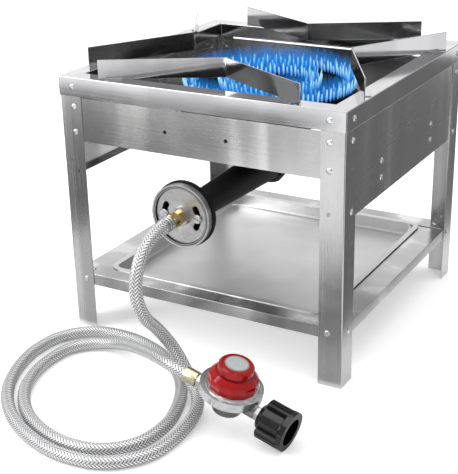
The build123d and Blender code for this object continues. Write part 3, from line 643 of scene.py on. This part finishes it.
def make_hose():
    """The braided hose, with the points of its middle line and its length."""
    route = hose_lead + loop_points() + hose_tail
    line, length = even_points(spline_points(route), braid_pitch / rings_per_pitch)
    faces = band_faces(len(line), braid_around)
    side_faces = len(faces)
    last = (len(line) - 1) * braid_around
    faces.append(tuple(range(braid_around - 1, -1, -1)))
    faces.append(tuple(range(last, last + braid_around)))
    hose = mesh_object("braided_hose", hose_skin(line), faces, braided_wire("braided_hose"))
    lay_braid(hose, side_faces)
    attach(hose, "stand")
    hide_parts("hose_lead", "hose_loops", "hose_tail")
    return hose, line, length


# Rivets and fittings

def side_place(turns, along, depth, out):
    """Place on a side of the stand with Z pointing outward; side 0 is the front, then counter-clockwise."""
    turn = Matrix.Rotation(math.pi / 2 * turns, 4, "Z")
    front = Matrix.Translation((along, -out, rim_height - depth)) @ Matrix.Rotation(math.pi / 2, 4, "X")
    return turn @ front


def front_place(out, along=0.0):
    """Place on the burner's inlet line with Z pointing out of the front."""
    return Matrix.Translation((along, -out, venturi_height)) @ Matrix.Rotation(math.pi / 2, 4, "X")


def add_piece(name, form, places, material, node):
    """A finer piece that takes the place of a plain node."""
    vertices, faces = repeated(form, places)
    piece = mesh_object(name, vertices, faces, material)
    soften(piece)
    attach(piece, "stand")
    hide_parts(node)
    return piece


def rivet_form(grip):
    """Blind rivet: domed head with the hole that its mandrel leaves, shank and upset tail."""
    shank = 0.0020
    head = [(0.0, 0.0008), (0.0010, 0.0008), (0.0012, 0.00155), (0.0019, 0.0016), (0.0028, 0.00135),
            (0.0036, 0.0008), (0.0040, 0.00015), (0.0039, 0.0)]
    tail = [(0.0026, 0.0003), (0.0029, 0.0009), (0.0026, 0.0015), (0.0016, 0.0018), (0.0, 0.0018)]
    profile = head + [(shank, 0.0), (shank, -grip)] + [(radius, -grip - drop) for radius, drop in tail]
    return lathe(profile[::-1], rivet_sides)


def make_rivets():
    """Round rivets in the rim, the legs, the shelf and the tabs of the burner bars."""
    frame_places = []
    shelf_places = []
    bar_places = []
    for turns in range(4):
        lower_depth = front_fixing_depth if turns == 0 else side_fixing_depth
        for along in (-fixing_line, fixing_line):
            frame_places.append(side_place(turns, along, rim_fixing_depth, half_width))
            frame_places.append(side_place(turns, along, upper_fixing_depth, leg_face))
            frame_places.append(side_place(turns, along, lower_depth, leg_face))
            shelf_places.append(side_place(turns, along, shelf_fixing_depth, leg_face))
    across = apron_face - front_rail_width / 2
    for x in (-fixing_line, fixing_line):
        for y in (-across, across):
            shelf_places.append(Matrix.Translation((x, y, shelf_height)))
    for turns in (1, 3):
        for along in (-bar_offset, bar_offset):
            for drop in bar_tab_drops:
                bar_places.append(side_place(turns, along, rim_height - bar_top + drop, apron_face))
    sets = (("frame_rivets", frame_places, 2 * sheet),
            ("shelf_rivets", shelf_places, 2 * sheet),
            ("bar_rivets", bar_places, sheet + bar_wall))
    for node, places, grip in sets:
        add_piece(f"round_{node}", rivet_form(grip), places, rivet_steel, node)


def ferrule_form(length, crimps):
    """Sleeve along Z from zero: a shoulder, pressed grooves and a rolled mouth."""
    shoulder = ferrule_radius - 0.0010
    shoulder_height = 0.0008
    sleeve = ferrule_radius - 0.0002
    groove = ferrule_radius - 0.0011
    mouth = ferrule_radius - 0.0003
    mouth_length = 0.0012
    mouth_lip = 0.0002
    pitch = length / (crimps + 1)
    groove_half = 0.32 * pitch
    floor_half = 0.16 * pitch
    profile = [(0.0, 0.0), (shoulder, 0.0), (sleeve, shoulder_height)]
    for crimp in range(crimps):
        middle = pitch * (crimp + 1)
        profile += [(sleeve, middle - groove_half), (groove, middle - floor_half),
                    (groove, middle + floor_half), (sleeve, middle + groove_half)]
    profile += [(ferrule_radius, length - mouth_length), (mouth, length - mouth_lip),
                (hose_radius, length), (0.0, length)]
    return lathe(profile, ferrule_sides)


def hexagon_form(across_flats, length, chamfer):
    """Hexagonal nut along Z from zero with its corners turned off at both ends."""
    corner = across_flats / 2 / math.cos(math.pi / 6)
    slope = 0.45 * chamfer
    levels = [(0.0, corner - chamfer), (slope, corner), (length - slope, corner), (length, corner - chamfer)]
    profile = [(0.0, 0.0)] + [(limit, level) for level, limit in levels] + [(0.0, length)]

    def flat(ring, angle):
        """Share of the turned radius that the hexagon's flats leave."""
        from_flat = (angle + math.pi / 6) % (math.pi / 3) - math.pi / 6
        return min(1.0, across_flats / 2 / math.cos(from_flat) / levels[ring][1])

    return lathe(profile, nut_sides, flat)


def screw_form():
    """Slotted pan head along Z from zero: two half discs on a round base."""
    radius = 0.0058
    height = 0.0030
    slot_half = 0.0007
    slot_floor = 0.0014
    bevel = 0.0009
    steps = 16
    ring_size = steps + 1
    rings = ((radius, slot_floor), (radius, height - bevel), (radius - bevel, height))
    base = [(0.0, 0.0), (radius, 0.0), (radius, slot_floor), (0.0, slot_floor)]
    vertices, faces = lathe(base, 2 * steps)
    for half in range(2):
        start = len(vertices)
        for reach, level in rings:
            first = math.asin(slot_half / reach)
            for step in range(ring_size):
                angle = first + (math.pi - 2 * first) * step / steps + math.pi * half
                vertices.append((reach * math.cos(angle), reach * math.sin(angle), level))
        for ring in range(len(rings) - 1):
            for step in range(steps):
                here = start + ring * ring_size + step
                faces.append((here, here + 1, here + 1 + ring_size, here + ring_size))
        top = start + (len(rings) - 1) * ring_size
        faces.append(tuple(range(top, top + ring_size)))
        faces.append((start + steps, start, top - ring_size, top, top + steps, top - 1))
    return vertices, faces


def make_small_fittings():
    """Hose ferrules, chamfered swivel nut and slotted screws; returns those that go with the hose."""
    nut_chamfer = 0.0012
    screw_lift = 0.0003
    screw_turns = (0.5, -0.3)
    ferrule = add_piece("crimped_ferrule_burner", ferrule_form(ferrule_front - swivel_front, 2),
                        [front_place(swivel_front)], zinc_steel, "hose_ferrule_burner")
    nut = add_piece("chamfered_swivel_nut", hexagon_form(swivel_hex, swivel_front - swivel_back, nut_chamfer),
                    [front_place(swivel_back)], brass, "hose_swivel_nut")
    screws = [front_place(shutter_face + screw_lift, along) @ Matrix.Rotation(turn, 4, "Z")
              for along, turn in zip((-screw_spacing / 2, screw_spacing / 2), screw_turns)]
    add_piece("slotted_screws", screw_form(), screws, zinc_steel, "shutter_screws")
    turn = (-regulator_line).to_track_quat("Z", "Y").to_matrix().to_4x4()
    outlet = Matrix.Translation(regulator_centre - regulator_line * outlet_reach) @ turn
    end = add_piece("plain_ferrule_regulator", ferrule_form(outlet_ferrule_length, 0), [outlet], yellow_zinc,
                    "hose_ferrule_regulator")
    return [ferrule, nut, end]


def make_hole_shade_studs():
    """Dark studs that close the two spare holes in the front panel; their dark tone is painted shade for the
    holes' insides.
    """
    reach = apron_hole_radius + 0.0002
    edge = 0.0003
    shoulder = 0.0007
    crown = 0.0008
    profile = [(0.0, 0.0), (reach, 0.0), (reach, edge), (0.7 * reach, shoulder), (0.0, crown)]
    places = [side_place(0, along, apron_hole_depth, apron_face)
              for along in (-apron_hole_spacing / 2, apron_hole_spacing / 2)]
    vertices, faces = repeated(lathe(profile, rivet_sides), places)
    studs = mesh_object("hole_shade_studs", vertices, faces, cast_iron)
    soften(studs)
    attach(studs, "stand")


# Flames

flame_base = ridge_crest_level - 0.004
flame_height = 0.022
flame_row_offset = 0.0040
flames_per_port = 2
haze_height = 0.050
haze_offset = 0.0015


def add_flames(name, vertices, faces, material):
    """A piece of burning gas, which casts no shadow and shows in no metal."""
    flames = mesh_object(name, vertices, faces, material)
    flames.visible_shadow = False
    flames.visible_glossy = False
    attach(flames, "stand")


def tongue_form(height):
    """One thin tongue of burning gas that stands on zero."""
    profile = [(0.0, 0.0), (0.0009, 0.001), (0.0013, 0.14 * height), (0.0014, 0.40 * height),
               (0.0011, 0.70 * height), (0.0007, 0.90 * height), (0.0, height)]
    return lathe(profile, tongue_sides)


def make_flame_tongues():
    """Tongues over both edges of the two ported ridges, each a little taller or more bent than the next."""
    azure = (0.0, 0.13, 0.62)
    pale = (0.46, 0.90, 1.0)
    row_lean = 6
    sway_lean = 5
    sway_share = 0.20
    sway_step = 2.4
    material = flame_gas("flame_gas", flame_base, flame_base + flame_height, azure, pale,
                         density=1.0, fade=(0.5, 1.0))
    vertices = []
    faces = []
    for radius, ports in zip(ridge_radii, ridge_ports):
        count = ports * flames_per_port
        for row, side in enumerate((1, -1)):
            foot = Matrix.Translation((radius + side * flame_row_offset, 0.0, flame_base))
            for port in range(count):
                angle = 2 * math.pi * (port + 0.5 * row) / count
                sway = math.sin(port * sway_step + row)
                tall = flame_height * (1 - sway_share + sway_share * sway)
                lean = Matrix.Rotation(math.radians(side * row_lean + sway_lean * sway), 4, "Y")
                place = Matrix.Rotation(angle, 4, "Z") @ foot @ lean
                points, polygons = repeated(tongue_form(tall), [place])
                faces += [tuple(len(vertices) + index for index in polygon) for polygon in polygons]
                vertices += points
    add_flames("gas_flames", vertices, faces, material)


def make_flame_haze():
    """Soft rings of burning gas that join the tongues, with a wavy upper edge."""
    navy = (0.0, 0.10, 0.50)
    sky = (0.02, 0.33, 0.92)
    port_wave = 0.14
    broad_wave = 0.06
    broad_waves = 7
    levels = (0.0, 0.25, 0.5, 0.75, 1.0)
    material = flame_gas("flame_haze", flame_base, flame_base + haze_height, navy, sky,
                         density=0.70, fade=(0.15, 0.62))
    vertices = []
    faces = []
    for radius, ports in zip(ridge_radii, ridge_ports):
        for offset in (haze_offset, -haze_offset):
            faces += band_faces(len(levels), haze_sides, start=len(vertices))
            for level in levels:
                reach = radius + offset * (1.0 - 0.5 * level)
                for step in range(haze_sides):
                    angle = 2 * math.pi * step / haze_sides
                    ripple = port_wave * math.sin(ports * angle) + broad_wave * math.sin(broad_waves * angle)
                    wave = 1.0 - port_wave - broad_wave + ripple
                    z = flame_base + haze_height * wave * level
                    vertices.append((reach * math.cos(angle), reach * math.sin(angle), z))
    add_flames("gas_haze", vertices, faces, material)


# Floor and light

def flat_card(name, low, high, level, material):
    """Level rectangle between two corners."""
    left, near = low
    right, far = high
    corners = [(left, near, level), (right, near, level), (right, far, level), (left, far, level)]
    return mesh_object(name, corners, [(0, 1, 2, 3)], material, smooth=False)


def flag_cloth(name, tone):
    """Dull cloth of one grey with a faint weave."""
    cloth, tree, shader = new_material(name)
    weave = noise(tree, 300.0)
    grey = (tone, tone, tone)
    woven = blend_colours(tree, weave, scaled(grey, 0.8), scaled(grey, 1.2))
    tree.links.new(woven, shader.inputs["Base Color"])
    shader.inputs["Roughness"].default_value = 0.9
    return cloth


def make_floor():
    """White floor that glows a little, so that it stays pale in the shade."""
    reach = 40.0
    material, tree, shader = new_material("studio_floor")
    tone = noise(tree, 1.5, detail=2.0)
    white = blend_colours(tree, tone, (0.93, 0.93, 0.93), (0.95, 0.95, 0.95))
    tree.links.new(white, shader.inputs["Base Color"])
    shader.inputs["Roughness"].default_value = 0.9
    shader.inputs["Specular IOR Level"].default_value = 0.1
    shader.inputs["Emission Color"].default_value = (1.0, 1.0, 1.0, 1.0)
    shader.inputs["Emission Strength"].default_value = 0.28
    floor = flat_card("floor", (-reach, -reach), (reach, reach), 0.0, material)


def make_flags():
    """Black, grey and pale cloths on the floor that only reflections show."""
    cloth_level = 0.0006
    lower_level = 0.0003
    black_cloth = flag_cloth("black_cloth", 0.04)
    grey_cloth = flag_cloth("grey_cloth", 0.16)
    pale_cloth = flag_cloth("pale_cloth", 0.55)
    flags = (("flag_right", (0.26, -0.12), (1.50, 1.60), cloth_level, grey_cloth),
             ("flag_left", (-1.60, -1.30), (-0.40, 0.70), cloth_level, black_cloth),
             ("flag_rim", (-0.40, -1.30), (-0.27, -0.88), cloth_level, black_cloth),
             ("flag_front", (0.34, -1.60), (1.30, -0.56), cloth_level, black_cloth),
             ("flag_hose", (-0.38, -0.64), (0.32, -0.21), lower_level, pale_cloth))
    for name, low, high, level, cloth in flags:
        flag = flat_card(name, low, high, level, cloth)
        flag.visible_camera = False
        flag.visible_diffuse = False
        flag.visible_shadow = False


def add_softbox(name, place, target, size, power):
    """Rectangular light aimed at a target, unseen by the camera."""
    data = bpy.data.lights.new(name, "AREA")
    data.shape = "RECTANGLE"
    data.size, data.size_y = size
    data.energy = power
    light = bpy.data.objects.new(name, data)
    bpy.context.scene.collection.objects.link(light)
    light.location = place
    light.visible_camera = False
    aim = Vector(target) - Vector(place)
    light.rotation_euler = aim.to_track_quat("-Z", "Y").to_euler()


def make_light():
    """White surroundings, a broad light overhead, one from the front left and a weak one from behind."""
    world = bpy.data.worlds.new("studio")
    bpy.context.scene.world = world
    world.use_nodes = True
    background = world.node_tree.nodes["Background"]
    background.inputs["Color"].default_value = (1.0, 1.0, 1.0, 1.0)
    background.inputs["Strength"].default_value = 0.50
    add_softbox("top_softbox", (0.0, -0.2, 2.4), (0.0, 0.0, 0.0), (3.6, 3.6), 66.0)
    add_softbox("key_softbox", (-1.9, -2.2, 1.5), (0.0, -0.1, 0.2), (1.4, 1.4), 45.0)
    add_softbox("back_softbox", (-1.8, 2.9, 1.4), (0.0, 0.0, 0.2), (2.6, 1.4), 8.0)
    bpy.context.scene.view_settings.view_transform = "Standard"


make_camera()
hose, hose_line, hose_length = make_hose()

# Finishes of the solids

along_x = 0
along_y = 1
along_z = 2
shutter_centre = (0.0, 0.0, venturi_height)
shutter_axis = (0.0, 1.0, 0.0)
shutter_grooves = (shutter_radius - shutter_rim_width, shutter_radius - 0.6 * shutter_rim_width)

bright_steel = brushed_metal("bright_steel", (0.57, 0.57, 0.58), along_x, smooth=0.08, rough=0.14,
                             reflection_banding=0.15)
sheet_along_x = brushed_metal("brushed_sheet_x", (0.48, 0.48, 0.48), along_x, smooth=0.20, rough=0.27)
sheet_along_y = brushed_metal("brushed_sheet_y", (0.52, 0.52, 0.52), along_y, smooth=0.20, rough=0.27,
                              reflection_banding=0.4)
sheet_upright = brushed_metal("brushed_sheet_z", (0.52, 0.52, 0.52), along_z, smooth=0.20, rough=0.27,
                              reflection_banding=0.5)
tray_steel = brushed_metal("tray_steel", (0.76, 0.76, 0.76), along_x, smooth=0.36, rough=0.44, reflection_banding=0.05)
zinc_steel = machined_metal("zinc_steel", (0.62, 0.62, 0.63), smooth=0.20, rough=0.36)
rivet_steel = machined_metal("rivet_steel", (0.82, 0.82, 0.83), smooth=0.16, rough=0.30)
cast_iron = cast_metal("cast_iron", (0.005, 0.005, 0.0055), metallic=0.0, smooth=0.34, rough=0.56,
                       grain=700.0, bump=0.35, depth=0.0005, specular=0.18)
cast_aluminium = grooved_casting("cast_aluminium", (0.52, 0.52, 0.52), shutter_centre, shutter_axis,
                                 shutter_grooves)
brass = machined_metal("brass", (0.80, 0.58, 0.24), smooth=0.16, rough=0.32)
yellow_zinc = machined_metal("yellow_zinc", (0.72, 0.65, 0.45), smooth=0.18, rough=0.30)
die_cast_zinc = machined_metal("die_cast_zinc", (0.86, 0.86, 0.87), smooth=0.12, rough=0.22, metallic=0.9)
# Cast zinc for the regulator body, painted darker than the bonnet's zinc as the shade under the disc
zinc_with_painted_shade = cast_metal("zinc_with_painted_shade", (0.34, 0.34, 0.35), metallic=1.0, smooth=0.30, rough=0.46,
                        grain=900.0, bump=0.2, depth=0.0002)
black_rubber = moulded_plastic("black_rubber", (0.02, 0.02, 0.02), smooth=0.6, rough=0.8, grain=700.0)
red_plastic = moulded_plastic("red_plastic", (0.28, 0.0003, 0.0008), smooth=0.06, rough=0.12, grain=900.0)
black_plastic = moulded_plastic("black_plastic", (0.003, 0.003, 0.0035), smooth=0.14, rough=0.30, grain=800.0,
                                coat=0.1)
pale_disc = ringed_disc("pale_disc", (0.66, 0.68, 0.68), regulator_centre, knob_axis)

finishes = {
    bright_steel: ["top_frame", "pot_support_front", "pot_support_right", "pot_support_back",
                   "pot_support_left"],
    sheet_along_x: ["front_apron", "back_apron", "shelf_rail_front", "shelf_rail_back"],
    sheet_along_y: ["left_apron", "right_apron", "shelf_rail_left", "shelf_rail_right"],
    sheet_upright: ["leg_front_left", "leg_front_right", "leg_back_left", "leg_back_right"],
    tray_steel: ["drip_tray"],
    zinc_steel: ["burner_bar_front", "burner_bar_back", "burner_bolts", "shutter_screws",
                 "hose_ferrule_burner", "diaphragm_plate", "adjusting_spring", "spring_nut",
                 "adjusting_stem", "outlet_nipple", "inlet_nipple"],
    rivet_steel: ["frame_rivets", "shelf_rivets", "bar_rivets"],
    cast_iron: ["burner_head", "venturi_tube"],
    cast_aluminium: ["air_shutter"],
    brass: ["orifice_fitting", "hose_swivel_nut"],
    yellow_zinc: ["hose_ferrule_regulator"],
    die_cast_zinc: ["regulator_bonnet", "clamp_ring"],
    zinc_with_painted_shade: ["regulator_body"],
    black_rubber: ["diaphragm"],
    red_plastic: ["regulator_knob"],
    pale_disc: ["knob_cap_disc"],
    black_plastic: ["cylinder_nut"],
}
for finish, names in finishes.items():
    for name in names:
        nodes[name].data.materials.clear()
        nodes[name].data.materials.append(finish)


def round_edges(node):
    """Narrow rounded edges on a folded sheet, whose facets are first joined to whole faces."""
    weld = node.modifiers.new("join_corners", "WELD")
    weld.merge_threshold = 0.00001
    flatten = node.modifiers.new("whole_faces", "DECIMATE")
    flatten.decimate_type = "DISSOLVE"
    flatten.angle_limit = math.radians(1)
    bevel = node.modifiers.new("rounded_edges", "BEVEL")
    bevel.width = 0.0004
    bevel.segments = 2
    bevel.limit_method = "ANGLE"
    bevel.angle_limit = math.radians(50)
    node.data.shade_flat()


for finish in (bright_steel, sheet_along_x, sheet_along_y, sheet_upright):
    for name in finishes[finish]:
        round_edges(nodes[name])

# The photographed sheets carry no image of the red knob
nodes["regulator_knob"].visible_glossy = False

make_rivets()
hose_fittings = make_small_fittings()
make_hole_shade_studs()
make_flame_tongues()
make_flame_haze()
make_floor()
make_flags()
make_light()
